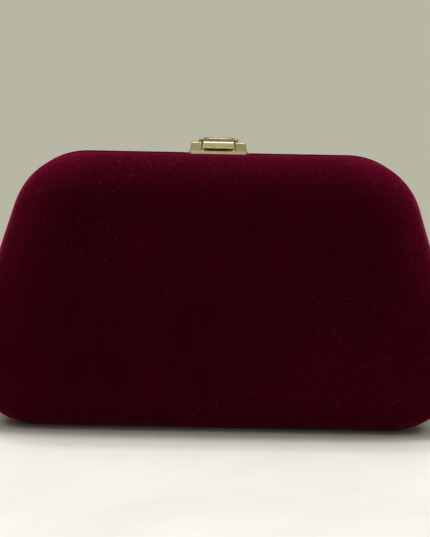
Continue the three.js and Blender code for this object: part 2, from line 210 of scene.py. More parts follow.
def velvet():
    """Dark burgundy velvet: short pile with brushed patches, lint-fine grain and a red sheen.

    Where the cloth bends round the case's edge its pile opens and looks grainier, and its colour
    is lighter: partly the open pile, partly painted sheen and light. At the upper corners it is
    lighter still, a painted light from above, and along the bottom edge, a painted floor bounce.
    """
    m = Nodes("velvet")
    # Up to 1 the attribute lightens the edge: the open pile, and painted sheen and light.
    total = m.attribute(OPEN_PILE_AND_PAINTED_LIGHT)
    open_pile_and_painted_light = m.maths("MINIMUM", total, 1.0)
    extra = m.maths("SUBTRACT", total, open_pile_and_painted_light)
    patches = m.noise(22, 3, 0.55, distortion=0.6)
    strokes = m.noise(60, 2, 0.5, m.scaled(1.0, 1.0, 0.35), distortion=0.8)
    grain = m.noise(1100, 2, 0.6)
    clumps = m.noise(420, 2, 0.6)
    pile = m.noise(3600, 2, 0.7)
    brushed = m.maths("ADD", m.maths("MULTIPLY", patches, 0.6), m.maths("MULTIPLY", strokes, 0.4))
    deep = m.mix(m.ramp(brushed, 0.38, 0.62), (0.034, 0.0007, 0.0050), (0.047, 0.0011, 0.0075))
    shown = m.maths("MULTIPLY", open_pile_and_painted_light, m.ramp(clumps, 0.36, 0.62, 0.62, 1.0))
    colour = m.mix(shown, deep, (0.056, 0.0013, 0.0075))
    # Past 1: painted light from above at the upper corners, painted floor bounce along the bottom
    # edge.
    extra = m.maths("MULTIPLY", extra, m.ramp(clumps, 0.36, 0.62, 0.5, 1.0))
    colour = m.mix(extra, colour, (0.090, 0.0020, 0.0125))
    speckle = m.maths("MULTIPLY", m.ramp(grain, 0.55, 0.74), m.ramp(clumps, 0.42, 0.66, 0.10, 1.0))
    worn = m.ramp(m.noise(15, 2, 0.5), 0.46, 0.60, 0.3, 1.0)
    grainy_share = m.maths("MAXIMUM", worn, m.maths("MULTIPLY", open_pile_and_painted_light, 0.8))
    speckle = m.maths("MULTIPLY", speckle, grainy_share)
    m.feed("Base Color", m.mix(speckle, colour, (0.112, 0.018, 0.029)))
    m.feed("Roughness", m.ramp(brushed, 0.35, 0.65, 0.86, 0.98))
    m.set(specular_ior_level=0.0, sheen_weight=0.8, sheen_roughness=0.26)
    m.set(sheen_tint=(0.60, 0.07, 0.14))
    soft = m.bump(patches, 0.0012, 0.35)
    grainy = m.bump(grain, 0.0004, 0.5, soft)
    m.feed("Normal", m.bump(pile, 0.00025, 0.8, grainy))
    return m.material


def satin():
    """Burgundy satin lining: fine diagonal weave, soft folds and a broad gloss."""
    m = Nodes("satin")
    weave = m.diagonal_wave(1900, 0.4, m.scaled(1.0, 1.0, 0.7))
    slubs = m.noise(900, 2, 0.5, m.scaled(0.12, 1.0, 1.0))
    folds = m.noise(45, 3, 0.5, m.scaled(1.0, 1.0, 0.45), distortion=0.5)
    # The colour follows the folds' bump, darker in their hollows: a painted shade.
    colour = m.mix(m.ramp(folds, 0.35, 0.65), (0.15, 0.007, 0.024), (0.23, 0.013, 0.040))
    m.feed("Base Color", m.mix(m.ramp(slubs, 0.55, 0.75, 0.0, 0.5), colour, (0.30, 0.028, 0.060)))
    m.feed("Roughness", m.ramp(weave, 0.0, 1.0, 0.34, 0.50))
    m.set(specular_ior_level=0.35, sheen_weight=0.3, sheen_roughness=0.3)
    m.set(sheen_tint=(0.9, 0.25, 0.34), anisotropic=0.4)
    gentle = m.bump(folds, 0.0012, 0.4)
    m.feed("Normal", m.bump(weave, 0.00005, 0.5, gentle))
    return m.material


def gold(name, polish, shade=1.0):
    """Pale gold plating. polish, 0 to 1, sets how smooth it is, and shade how light: a shade below
    1 makes a darker copy, a painted shade.
    """
    m = Nodes(name)
    clouds = m.noise(160, 3, 0.55, distortion=0.4)
    hair = m.noise(2600, 2, 0.6, m.scaled(0.04, 1.0, 1.0))
    rub = m.noise(520, 3, 0.6)
    low, high, wear_and_painted_bounce = (
        tuple(shade * c for c in tone)
        for tone in ((0.80, 0.67, 0.40), (0.92, 0.82, 0.58), (0.62, 0.49, 0.27))
    )
    colour = m.mix(m.ramp(clouds, 0.35, 0.70), low, high)
    m.feed("Base Color", m.mix(m.ramp(rub, 0.58, 0.78, 0.0, 0.55), colour, wear_and_painted_bounce))
    dull = 0.34 - 0.2 * polish
    m.feed("Roughness", m.ramp(m.maths("ADD", clouds, hair), 0.7, 1.3, dull - 0.07, dull + 0.09))
    m.set(metallic=1.0)
    m.feed("Normal", m.bump(m.maths("ADD", hair, clouds), 0.00006, 0.35))
    return m.material


def steel():
    """Nickel-plated steel of the hinge, rivets and backing plates, drawn lengthwise."""
    m = Nodes("hinge_steel")
    drawn = m.noise(2200, 2, 0.6, m.scaled(0.05, 1.0, 1.0))
    stain = m.noise(210, 3, 0.6)
    m.feed("Base Color", m.mix(m.ramp(stain, 0.4, 0.7), (0.60, 0.59, 0.57), (0.47, 0.46, 0.44)))
    m.feed("Roughness", m.ramp(m.maths("ADD", drawn, stain), 0.7, 1.3, 0.24, 0.42))
    m.set(metallic=1.0)
    m.feed("Normal", m.bump(drawn, 0.00004, 0.4))
    return m.material


def board():
    """Black moulded shell, with a fine leather-like mould grain."""
    m = Nodes("shell_board")
    grain = m.cells(900)
    flow = m.noise(30, 3, 0.6)
    colour = m.mix(m.ramp(flow, 0.35, 0.65), (0.014, 0.014, 0.016), (0.026, 0.025, 0.026))
    m.feed("Base Color", colour)
    m.feed("Roughness", m.ramp(grain, 0.0, 0.5, 0.45, 0.62))
    m.feed("Normal", m.bump(grain, 0.00008, 0.6))
    return m.material


def foam():
    """Cream open-cell foam."""
    m = Nodes("foam")
    pores = m.cells(1300)
    tone = m.noise(70, 3, 0.5)
    colour = m.mix(m.ramp(tone, 0.35, 0.65), (0.70, 0.62, 0.45), (0.78, 0.72, 0.58))
    # Darker in the pores, where the bump sinks them: a painted shade.
    m.feed("Base Color", m.mix(m.ramp(pores, 0.0, 0.25, 1.0, 0.0), colour, (0.45, 0.38, 0.26)))
    m.set(roughness=0.95, specular_ior_level=0.2, subsurface_weight=0.1)
    m.feed("Normal", m.bump(pores, 0.0004, 0.8))
    return m.material


def thread():
    """Burgundy sewing thread with a visible twist."""
    m = Nodes("thread")
    twist = m.diagonal_wave(1400, 0.3)
    # Darker in the twist's grooves, where the bump sinks them: a painted shade.
    m.feed("Base Color", m.mix(twist, (0.07, 0.005, 0.012), (0.15, 0.014, 0.03)))
    m.feed("Roughness", m.ramp(twist, 0.0, 1.0, 0.45, 0.65))
    m.feed("Normal", m.bump(twist, 0.00005, 0.6))
    return m.material


VELVET = velvet()
SATIN = satin()
GOLD = gold("clasp_gold", 0.8)
# Darker copies of the gold, as painted shade: rougher and darker, darker still, and darkest.
GOLD_ROUGH_PAINTED_SHADE = gold("clasp_gold_rough_painted_shade", 0.35, 0.72)
GOLD_SHADED = gold("clasp_gold_shaded", 0.2, 0.42)
GOLD_DEEP_PAINTED_SHADE = gold("clasp_gold_deep_painted_shade", 0.1, 0.12)
STEEL = steel()
BOARD = board()
FOAM = foam()
THREAD = thread()

# -------- mesh helpers --------


def add_mesh(name, vertices, faces, material, smooth_shade=True):
    data = bpy.data.meshes.new(name)
    data.from_pydata([tuple(v) for v in vertices], [], faces)
    data.validate()
    data.materials.append(material)
    data.polygons.foreach_set("use_smooth", [smooth_shade] * len(data.polygons))
    made = bpy.data.objects.new(name, data)
    bpy.context.scene.collection.objects.link(made)
    return made


def face_outward(obj):
    """Turns the normals of a closed mesh outward."""
    bm = bmesh.new()
    bm.from_mesh(obj.data)
    bmesh.ops.recalc_face_normals(bm, faces=bm.faces)
    bm.to_mesh(obj.data)
    bm.free()


BEVEL_SEGMENTS = 3
SHARP_ANGLE = math.radians(30)


def bevel_edges(obj, width):
    """Rounds the edges that are sharper than SHARP_ANGLE, and keeps flat faces flat."""
    bm = bmesh.new()
    bm.from_mesh(obj.data)
    sharp = [e for e in bm.edges if len(e.link_faces) == 2 and e.calc_face_angle() > SHARP_ANGLE]
    bmesh.ops.bevel(
        bm,
        geom=sharp,
        offset=width,
        segments=BEVEL_SEGMENTS,
        profile=0.5,
        affect="EDGES",
        clamp_overlap=True,
        harden_normals=False,
    )
    bm.to_mesh(obj.data)
    bm.free()
    obj.data.polygons.foreach_set("use_smooth", [True] * len(obj.data.polygons))
    weighted = obj.modifiers.new("weighted", "WEIGHTED_NORMAL")
    weighted.keep_sharp = True


def finish_piece(obj, body, slot, *nodes):
    """Says which body a piece rides on, and hides the CAD nodes it stands for. slot is not used.
    """
    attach(obj, body)
    if nodes:
        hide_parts(*nodes)


def loft(name, rings, material, poles=None):
    """A skin through closed rings of equal count. poles are its two end points. Without them
    the last ring joins the first, as in a tube."""
    count = len(rings[0])
    vertices = [p for ring in rings for p in ring]
    faces = []
    for r in range(len(rings) - 1 if poles is not None else len(rings)):
        a, b = r * count, (r + 1) % len(rings) * count
        for i in range(count):
            j = (i + 1) % count
            faces.append((a + i, a + j, b + j, b + i))
    if poles is not None:
        first, last = len(vertices), len(vertices) + 1
        vertices += list(poles)
        end = (len(rings) - 1) * count
        for i in range(count):
            j = (i + 1) % count
            faces.append((first, j, i))
            faces.append((last, end + i, end + j))
    made = add_mesh(name, vertices, faces, material)
    face_outward(made)
    return made


def prism(name, axis, outline, start, end, material, bevel):
    """An outline run from start to end along axis, with rounded edges. The outline's points are
    (y, z) along "x", and (x, z) along "y"."""
    count = len(outline)
    if axis == "x":
        vertices = [(at, y, z) for at in (start, end) for y, z in outline]
    else:
        vertices = [(x, at, z) for at in (start, end) for x, z in outline]
    faces = [(i, (i + 1) % count, count + (i + 1) % count, count + i) for i in range(count)]
    faces += [tuple(range(count)), tuple(range(2 * count - 1, count - 1, -1))]
    made = add_mesh(name, vertices, faces, material)
    face_outward(made)
    bevel_edges(made, bevel)
    return made


def turned(name, profile, centre, axis, material, steps=40, hollow=False):
    """A turned solid. profile is (radius, along) points; axis is "x" or "z" through centre.
    A hollow one has no ends: its profile closes on itself."""
    rings = []
    for radius, along in profile:
        ring = []
        for i in range(steps):
            a = 2 * math.pi * i / steps
            across = (radius * math.cos(a), radius * math.sin(a))
            offset = (along, *across) if axis == "x" else (*across, along)
            ring.append(Vector(centre) + Vector(offset))
        rings.append(ring)
    if hollow:
        return loft(name, rings, material)
    ends = []
    for _, along in (profile[0], profile[-1]):
        ends.append(Vector(centre) + Vector((along, 0, 0) if axis == "x" else (0, 0, along)))
    return loft(name, rings, material, ends)


def arc(cy, cz, radius, start, stop, steps):
    """Points round (cy, cz) from the angle start to stop, in degrees."""
    angles = np.radians(np.linspace(start, stop, steps + 1))
    return [(cy + radius * math.cos(a), cz + radius * math.sin(a)) for a in angles]


# -------- the case's outline and section --------

BOTTOM_CENTRE = (WIDTH / 2 - BOTTOM_RADIUS, BOTTOM_RADIUS)
SIDE_REACH = (
    BOTTOM_CENTRE[0] * math.cos(SIDE_LEAN) + BOTTOM_CENTRE[1] * math.sin(SIDE_LEAN) + BOTTOM_RADIUS
)
TOP_CENTRE_Z = HEIGHT - TOP_RADIUS
TOP_CENTRE = (
    (SIDE_REACH - TOP_RADIUS - TOP_CENTRE_Z * math.sin(SIDE_LEAN)) / math.cos(SIDE_LEAN),
    TOP_CENTRE_Z,
)
MIDDLE = (0.0, HEIGHT / 2)
# Steps along half of the bottom, the bottom corner, the side, the top corner and half of the top.
FLAT_STEPS, BOTTOM_STEPS, SIDE_STEPS, TOP_STEPS, CREST_STEPS = 26, 26, 20, 20, 18


def outline_at(inset):
    """The outline drawn in by inset, as (x, z) rows, anticlockwise from the bottom middle."""
    (bx, bz), (tx, tz) = BOTTOM_CENTRE, TOP_CENTRE
    bottom, top = BOTTOM_RADIUS - inset, TOP_RADIUS - inset
    low = np.linspace(-math.pi / 2, SIDE_LEAN, BOTTOM_STEPS + 1)
    high = np.linspace(SIDE_LEAN, math.pi / 2, TOP_STEPS + 1)
    lower = np.stack([bx + bottom * np.cos(low), bz + bottom * np.sin(low)], axis=1)
    upper = np.stack([tx + top * np.cos(high), tz + top * np.sin(high)], axis=1)
    flat = np.linspace((0, inset), lower[0], FLAT_STEPS, endpoint=False)
    side = np.linspace(lower[-1], upper[0], SIDE_STEPS + 1)[1:-1]
    crest = np.linspace(upper[-1], (0, HEIGHT - inset), CREST_STEPS + 1)[1:]
    right = np.concatenate([flat, lower, side, upper, crest])
    left = right[-2:0:-1] * (-1, 1)
    return np.concatenate([right, left])


SECTION_SAMPLES = 800
# Rings of each layer's section, and of its face inside them.
COVER_RINGS, COVER_INNER_RINGS = 40, 14
PAD_RINGS, PAD_FACE_RINGS = 30, 6
LINING_RINGS, LINING_OUTER_RINGS = 40, 14
FACE_RINGS, HIDDEN_FACE_RINGS = 16, 4


def section(side_offset, face_offset, count, rim_depth=PARTING_GAP):
    """(inset, depth) rows evenly along a layer's section, from its rim to its face."""
    a = np.linspace(0, math.pi / 2, SECTION_SAMPLES)
    face_depth = HALF_DEPTH - CROWN - face_offset
    cosine = np.clip(np.cos(a), 0, 1)
    inset = ROLL_WIDTH - (ROLL_WIDTH - side_offset) * cosine**ROLL_POWER
    depth = STRAIGHT_WALL + (face_depth - STRAIGHT_WALL) * np.sin(a) ** ROLL_POWER
    inset = np.concatenate([[side_offset], inset])
    depth = np.concatenate([[rim_depth], depth])
    run = np.concatenate([[0], np.cumsum(np.hypot(np.diff(inset), np.diff(depth)))])
    even = np.linspace(0, run[-1], count)
    return np.stack([np.interp(even, run, inset), np.interp(even, run, depth)], axis=1)


def ring_at(inset, depth, side):
    """One ring of a layer. depth is a number, or one for each point of the outline."""
    outline = outline_at(inset)
    return np.stack([outline[:, 0], side * depth * np.ones(len(outline)), outline[:, 1]], axis=1)


def face_rings(depth, side, count=FACE_RINGS):
    """Rings from the face's edge to near its middle, rising by CROWN, and the middle point."""
    edge = outline_at(ROLL_WIDTH)
    middle = np.array(MIDDLE)
    rings = []
    for share in np.linspace(1, 0, count + 1)[1:-1]:
        spot = middle + (edge - middle) * share
        level = depth + CROWN * (1 - share**2)
        rings.append(np.stack([spot[:, 0], np.full(len(spot), side * level), spot[:, 1]], axis=1))
    return rings, np.array([middle[0], side * (depth + CROWN), middle[1]])


def rim_setback():
    """How far each outline point's rim stands back from the parting plane, to leave room for the
    hinge, and whether the point is in the notch round it."""
    outline = outline_at(0)
    x, z = np.abs(outline[:, 0]), outline[:, 1]
    low = z < BOTTOM_RADIUS
    groove = np.where(low, np.clip((GROOVE_TOP - z) * GROOVE_SLOPE, 0, None), 0)
    near = 1 - smooth(HINGE_HALF + NOTCH_START, HINGE_HALF + NOTCH_FADE, x)
    notch = np.where(low & (z < HINGE_Z), NOTCH_HALF * near, 0)
    return np.maximum(RIM_GAP, np.maximum(groove, notch)), notch > PARTING_GAP


def inward():
    """The unit direction into the case at each outline point."""
    return (outline_at(MM) - outline_at(0)) / MM


BEAD_START = 2 * MM                  # how far from the clasp the bead is whole
BEAD_HEIGHTS = (0.5 * HEIGHT, 0.85 * HEIGHT)   # where up the outline it begins, and is whole
BEAD_DEPTHS = (0.6 * MM, 3.5 * MM)   # where along the wall it begins to fade, and ends


def rim_bead(half):
    """How far each outline point's rim stands proud: only the rear's, and not under the clasp."""
    if half == "front":
        return np.zeros(len(outline_at(0)))
    x, z = np.abs(outline_at(0)).T
    beside_clasp = smooth(CLASP_HALF, CLASP_HALF + BEAD_START, x)
    return RIM_BEAD * smooth(*BEAD_HEIGHTS, z) * beside_clasp


def jitter(points, scale, amount):
    """A smooth displacement length for each point, within about +-amount."""
    return np.array([noise.noise(Vector(p) * scale) for p in points]) * amount


def deeper_than(points, start, span):
    """0 up to the depth start, rising to 1 over span, for each point."""
    return np.clip((np.abs(points[:, 1]) - start) / span, 0, 1)


# -------- soft layers of each half --------

COVER_WAVES = ((28, 0.22 * MM), (75, 0.07 * MM))   # scale and height
COVER_WAVES_FROM = 1.5 * MM            # depth down to which there are none,
COVER_WAVES_OVER = 8 * MM              # and how much deeper they are whole
WAVES_ACROSS = 3                       # they move the skin mostly across the face
COVER_INNER_FROM = 1.5 * MM
PILE_AND_LIGHT_INSETS = (2 * MM, ROLL_WIDTH)     # the pile is wholly open, with its painted light, up to one, and flat at the other
PAINTED_BOUNCE_INSETS = (3.5 * MM, 6 * MM)     # painted floor bounce on the bottom edge: whole up to one, none past the other
PAINTED_BOUNCE_HEIGHTS = (0.5 * MM, 8 * MM)    # the same, up the outline
CORNER_ASIDE = (48 * MM, 66 * MM)      # the upper corners' painted light from above, its part of the outline: from the middle,
CORNER_HEIGHTS = (0.4 * HEIGHT, 0.75 * HEIGHT)     # and from the bottom
LIP_SHARES = (0.35, 0.7, 0.93)         # rings across the lip, as shares of its width
LIP_OUTER_SHARES = (0.93, 0.7, 0.4)


def lip_rings(half):
    """The cover's turned-in lip: its inner face, its rounded edge, its outer face, and the fold
    at the rim. Also how far back from the parting plane its rim stands, and its bead."""
    side = SIDES[half][0]
    setback, at_hinge = rim_setback()
    bead = rim_bead(half)
    turn_in = np.where(at_hinge, TURN_IN_AT_HINGE, TURN_IN)
    rings = []

    def add_ring(inset, depth_in):
        """A ring of the lip: inset is a share of the lip, depth_in goes into the case."""
        spot = outline_at(0) + inward() * (inset * turn_in)[:, None]
        rings.append(np.stack([spot[:, 0], side * (setback + depth_in), spot[:, 1]], axis=1))

    whole = np.ones(len(setback))
    for share in LIP_SHARES:
        add_ring(whole * share, COVER_THICK)
    add_ring(whole, COVER_THICK * 0.5)
    for share in LIP_OUTER_SHARES:
        add_ring(whole * share, 0)
    for angle in (20, 45, 70):
        a = math.radians(angle)
        inset = (RIM_FOLD * (1 - math.sin(a)) - bead) / turn_in
        add_ring(inset, RIM_FOLD * (1 - math.cos(a)))
    return rings, setback, bead


def wave_skin(rings):
    """Moves rings of the cover in and out by the cloth's waves, and keeps them above the table."""
    skin = np.concatenate(rings)
    away = skin - np.array([0, 0, HEIGHT / 2])
    away[:, 1] *= WAVES_ACROSS
    away /= np.linalg.norm(away, axis=1)[:, None]
    wave = sum(jitter(skin, *row) for row in COVER_WAVES)
    wave *= deeper_than(skin, COVER_WAVES_FROM, COVER_WAVES_OVER)
    skin += away * wave[:, None]
    skin[:, 2] = np.maximum(skin[:, 2], 0.0)
    return np.split(skin, len(rings))


def open_pile_and_painted_light_values(half, lip_count, insets, face_count):
    """The attribute's value at each point of the cover's outer rings, from the lip to the face:
    the open pile with its painted sheen and light.
    """
    count = lip_count + len(insets) + face_count
    open_pile_and_painted_light, wear_and_painted_bounce = np.zeros(count), np.zeros(count)
    # The front cover's fold at the rim gets the whole painted highlight; the rear's gets none.
    open_pile_and_painted_light[:lip_count] = 1 if half == "front" else 0
    open_pile_and_painted_light[lip_count:lip_count + len(insets)] = 1 - smooth(*PILE_AND_LIGHT_INSETS, insets)
    wear_and_painted_bounce[lip_count:lip_count + len(insets)] = 1 - smooth(*PAINTED_BOUNCE_INSETS, insets)
    x, z = np.abs(outline_at(0)).T
    # Painted light from above, lighter at the upper corners.
    corner = smooth(*CORNER_ASIDE, x) * smooth(*CORNER_HEIGHTS, z)
    # Painted floor bounce, lighter along the bottom edge.
    bottom = 1 - smooth(*PAINTED_BOUNCE_HEIGHTS, z)
    return (np.outer(open_pile_and_painted_light, 1 + corner) + np.outer(wear_and_painted_bounce, bottom)).ravel()


def add_cover(half):
    """The velvet skin: wrapped round the shell, turned in over its rim, thin and closed."""
    side, body = SIDES[half]
    thick = COVER_THICK
    lip, setback, bead = lip_rings(half)
    skin = []
    outer = section(0, 0, COVER_RINGS)
    for inset, depth in outer:
        ring = ring_at(inset, depth, side)
        if depth < STRAIGHT_WALL:
            share = (depth - PARTING_GAP) / (STRAIGHT_WALL - PARTING_GAP)
            start = setback + RIM_FOLD
            ring[:, 1] = side * (start + (STRAIGHT_WALL - start) * share)
        proud = bead * (1 - smooth(*BEAD_DEPTHS, depth))
        ring[:, ::2] -= inward() * proud[:, None]
        skin.append(ring)
    on_face, pole = face_rings(HALF_DEPTH - CROWN, side)
    skin = wave_skin(skin + on_face)

    # The inner face, coarser because it lies on the pad and the shell.
    inner = []
    for inset, depth in section(thick, thick, COVER_INNER_RINGS)[1:]:
        if depth > COVER_INNER_FROM + thick:
            inner.append(ring_at(inset, depth, side))
    inner_depth = HALF_DEPTH - CROWN - thick
    inner_face, inner_pole = face_rings(inner_depth, side, HIDDEN_FACE_RINGS)
    inner = (inner + inner_face)[::-1]
    made = loft(f"{half}_cover", inner + lip + skin, VELVET, [inner_pole, pole])
    values = open_pile_and_painted_light_values(half, len(lip), outer[:, 0], len(on_face))
    values = np.concatenate([np.zeros(len(inner) * len(setback)), values, [0, 0]])
    made.data.attributes.new(OPEN_PILE_AND_PAINTED_LIGHT, "FLOAT", "POINT").data.foreach_set("value", values)
    finish_piece(made, body, "velvet", f"{half}_velvet_cover")


PAD_SIDE = 1.0 * MM
PAD_DEPTHS = (3.0 * MM, 1.0 * MM)      # its inner and outer faces, under the case's face
PAD_EDGE = 16.5 * MM                   # it begins this far from the parting plane


def add_pad(half):
    """The foam pad under the cover's face, crowned, with a skived edge."""
    side, body = SIDES[half]
    faces = []
    for under in PAD_DEPTHS:
        rows = [row for row in section(PAD_SIDE, under, PAD_RINGS) if row[1] > PAD_EDGE]
        rings, pole = face_rings(HALF_DEPTH - CROWN - under, side, PAD_FACE_RINGS)
        faces.append(([ring_at(inset, depth, side) for inset, depth in rows] + rings, pole))
    (inner, inner_pole), (outer, outer_pole) = faces
    made = loft(f"{half}_pad", inner[::-1] + outer, FOAM, [inner_pole, outer_pole])
    finish_piece(made, body, "foam", f"{half}_foam_pad")


LINING_RIM = 0.75 * MM                 # where the rounded rim begins, from the parting plane
LINING_RIM_RISE = 0.45 * MM
LINING_OUTER_RIM = 1.0 * MM
FOLDS, CREASES = (60, 0.55 * MM), (140, 0.2 * MM)   # scale and height
FOLDS_LENGTHEN = (1.0, 1.0, 0.35)      # stretches the folds up the case
CREASES_FROM = 1.0 * MM                # depth down to which there are none,
CREASES_OVER = 5 * MM                  # and how much deeper they are whole
CREASES_ACROSS = 30 * MM               # set against the distance to the case's middle


def crease_rings(rings, side):
    """Moves rings of the lining into the compartment, by long folds and small creases."""
    skin = np.concatenate(rings)
    toward = np.array([0, 0, HEIGHT / 2]) - skin
    toward[:, 1] = -side * CREASES_ACROSS
    toward /= np.linalg.norm(toward, axis=1)[:, None]
    wave = np.abs(jitter(skin * FOLDS_LENGTHEN, *FOLDS)) + np.abs(jitter(skin, *CREASES))
    wave *= deeper_than(skin, CREASES_FROM, CREASES_OVER)
    skin += toward * wave[:, None]
    return np.split(skin, len(rings))


def add_lining(half):
    """The satin lining tray, softly creased, with a rounded edge at the rim."""
    side, body = SIDES[half]
    thick = LINING_THICK
    outside = section(LINING_SIDE, LINING_FACE, LINING_OUTER_RINGS, LINING_OUTER_RIM)
    inside = section(LINING_SIDE + thick, LINING_FACE + thick, LINING_RINGS, LINING_RIM)
    floor_depth = HALF_DEPTH - CROWN - LINING_FACE
    floor, floor_pole = face_rings(floor_depth, side, HIDDEN_FACE_RINGS)
    rings = ([ring_at(inset, depth, side) for inset, depth in outside] + floor)[::-1]
    for angle in (20, 60, 100, 140):
        a = math.radians(angle)
        middle = LINING_SIDE + thick / 2
        inset = middle - thick / 2 * math.cos(a)
        rings.append(ring_at(inset, LINING_RIM - LINING_RIM_RISE * math.sin(a), side))
    face, face_pole = face_rings(floor_depth - thick, side)
    rings += crease_rings([ring_at(inset, depth, side) for inset, depth in inside] + face, side)
    made = loft(f"{half}_lining_cloth", rings, SATIN, [floor_pole, face_pole])
    finish_piece(made, body, "satin", f"{half}_lining")


for half in SIDES:
    add_cover(half)
    add_pad(half)
    add_lining(half)

# -------- hinge and rivets --------

KNUCKLES = 7
KNUCKLE_GAP = 0.3 * MM
KNUCKLE_BORE = 0.95 * MM
KNUCKLE_EDGE = 0.2 * MM
LEAF_THICK = 0.7 * MM
LEAF_START = 2.0 * MM          # from the hinge's axis
TAB_START, TAB_LAP = 0.9 * MM, 0.3 * MM


def add_hinge_leaf(half, first):
    """A leaf with its knuckles, rebuilt round: a plate, then a barrel for every second knuckle,
    each with a tab that joins it to the plate. first is the number of the first, 0 or 1."""
    side, body = SIDES[half]
    low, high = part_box(f"{half}_hinge_leaf")
    length = (2 * HINGE_HALF + KNUCKLE_GAP) / KNUCKLES
    far = high.y if side > 0 else low.y
    near = side * LEAF_START
    top, bottom = LEAF_TOP, LEAF_TOP - LEAF_THICK
    outline = [(near, bottom), (far, bottom), (far, top), (near, top)]
    made = prism(f"{half}_hinge", "x", outline, -HINGE_HALF, HINGE_HALF, STEEL, 0.12 * MM)
    finish_piece(made, body, "hinge_steel", f"{half}_hinge_leaf")
    r, edge = BARREL_RADIUS, KNUCKLE_EDGE
    tab_near, tab_far = side * TAB_START, near + side * TAB_LAP
    tab = [(tab_near, bottom), (tab_far, bottom), (tab_far, top), (tab_near, top)]
    for k in range(first, KNUCKLES, 2):
        x0 = -HINGE_HALF + k * length
        x1 = x0 + length - KNUCKLE_GAP
        profile = [(KNUCKLE_BORE, x0), (r - edge, x0)]
        profile += [(r - 0.3 * edge, x0 + 0.3 * edge), (r, x0 + edge)]
        profile += [(r, x1 - edge), (r - 0.3 * edge, x1 - 0.3 * edge)]
        profile += [(r - edge, x1), (KNUCKLE_BORE, x1)]
        centre = (0, 0, HINGE_Z)
        barrel = turned(f"{half}_knuckle_{k + 1}", profile, centre, "x", STEEL, hollow=True)
        strap = prism(f"{half}_tab_{k + 1}", "x", tab, x0, x1, STEEL, 0.1 * MM)
        for piece in (barrel, strap):
            finish_piece(piece, body, "hinge_steel")


def add_hinge_pin():
    """The pin, with a small dome at each end."""
    radius = (pin_high.z - pin_low.z) / 2
    end = pin_high.x
    profile = [(0.3 * radius, -end), (0.8 * radius, -end + 0.1 * MM), (radius, -end + 0.3 * MM)]
    profile += [(radius, end - 0.3 * MM), (0.8 * radius, end - 0.1 * MM), (0.3 * radius, end)]
    made = turned("hinge_pin_rod", profile, (0, 0, HINGE_Z), "x", STEEL)
    finish_piece(made, REAR, "hinge_steel", "hinge_pin")


add_hinge_leaf("rear", 0)
add_hinge_leaf("front", 1)
add_hinge_pin()

RIVET_SHANK = 0.8 * MM         # radius
RIVET_HEAD = 0.35 * MM         # thickness
RIVET_EDGE = 0.08 * MM


def add_rivet(node, body, slot, material, tail):
    """A domed rivet in the place of a CAD rivet. tail is true if it has a head at both ends."""
    low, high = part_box(node)
    centre = ((low.x + high.x) / 2, (low.y + high.y) / 2, 0)
    head = (high.x - low.x) / 2
    shank, thick = RIVET_SHANK, RIVET_HEAD
    if tail:
        profile = [(0.5 * head, low.z), (0.95 * head, low.z + 0.1 * MM), (head, low.z + 0.2 * MM)]
        profile += [(head, low.z + thick), (shank, low.z + thick)]
    else:
        profile = [(0.5 * shank, low.z), (shank, low.z + 0.05 * MM)]
    seat = high.z - thick
    profile += [(shank, seat), (0.97 * head, seat), (head, seat + RIVET_EDGE)]
    for angle in (35, 60, 80):
        a = math.radians(angle)
        rise = (thick - RIVET_EDGE) * math.sin(a)
        profile.append((head * math.cos(a), seat + RIVET_EDGE + rise))
    made = turned(f"{node}_round", profile, centre, "z", material, 28)
    finish_piece(made, body, slot, node)


for half, (_, body) in SIDES.items():
    for number in range(1, 5):
        add_rivet(f"{half}_hinge_rivet_{number}", body, "hinge_steel", STEEL, False)
    for number in (1, 2):
        add_rivet(f"clasp_{half}_rivet_{number}", body, "clasp_gold", GOLD, True)

# -------- clasp --------

front_base_low, front_base_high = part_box("clasp_front_base")
rear_base_low, rear_base_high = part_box("clasp_rear_base")
lever_low, lever_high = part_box("clasp_lever")
clasp_pin_low, clasp_pin_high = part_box("clasp_pin")
CLASP_PIN = (3.0 * MM, (clasp_pin_low.z + clasp_pin_high.z) / 2)     # y and z of its axis
LEVER_HALF = lever_high.x
BLOCK_INNER = LEVER_HALF + 0.35 * MM
END_ROUNDING = 1.0 * MM        # of the end blocks' edges
ROLL_RADIUS = 2.0 * MM         # of the lever's rear knuckle
EAR_RADIUS = 1.85 * MM


def add_front_base():
    """A plate with a rounded upper front edge, and a block and a sloping foot at each end."""
    half = front_base_high.x
    y0, y1 = front_base_low.y, front_base_high.y
    z0 = front_base_low.z
    floor, top = z0 + 1.55 * MM, front_base_high.z - 0.3 * MM
    lip = 0.55 * MM
    outline = [(y0, z0), *arc(y0 + lip, floor - lip, lip, 180, 90, 6), (y1, floor), (y1, z0)]
    plate = prism("clasp_front_plate", "x", outline, -half, half, GOLD, 0.1 * MM)
    finish_piece(plate, FRONT, "clasp_gold", "clasp_front_base")
    sunk, face = z0 + 0.4 * MM, y0 + 0.25 * MM
    # The end blocks are in a rougher, darker gold: a painted shade.
    for name, x0, x1 in (("left", -half, -BLOCK_INNER), ("right", BLOCK_INNER, half)):
        outline = [(x0, sunk), (x1, sunk), (x1, top), (x0, top)]
        block = prism(f"clasp_block_{name}", "y", outline, face, y1, GOLD_ROUGH_PAINTED_SHADE, END_ROUNDING)
        finish_piece(block, FRONT, "clasp_gold")
    # The feet are in the darker gold: a painted shade.
    tall, foot_face = 2.2 * MM, y0 + 1.2 * MM
    for name, side in (("left", -1), ("right", 1)):
        root, toe = side * (half - 0.4 * MM), side * (half + 1.1 * MM)
        outline = [(root, z0), (toe, z0), (side * half, z0 + tall), (root, z0 + tall)]
        foot = prism(f"clasp_foot_{name}", "y", outline, foot_face, y1, GOLD_SHADED, 0.12 * MM)
        finish_piece(foot, FRONT, "clasp_gold")


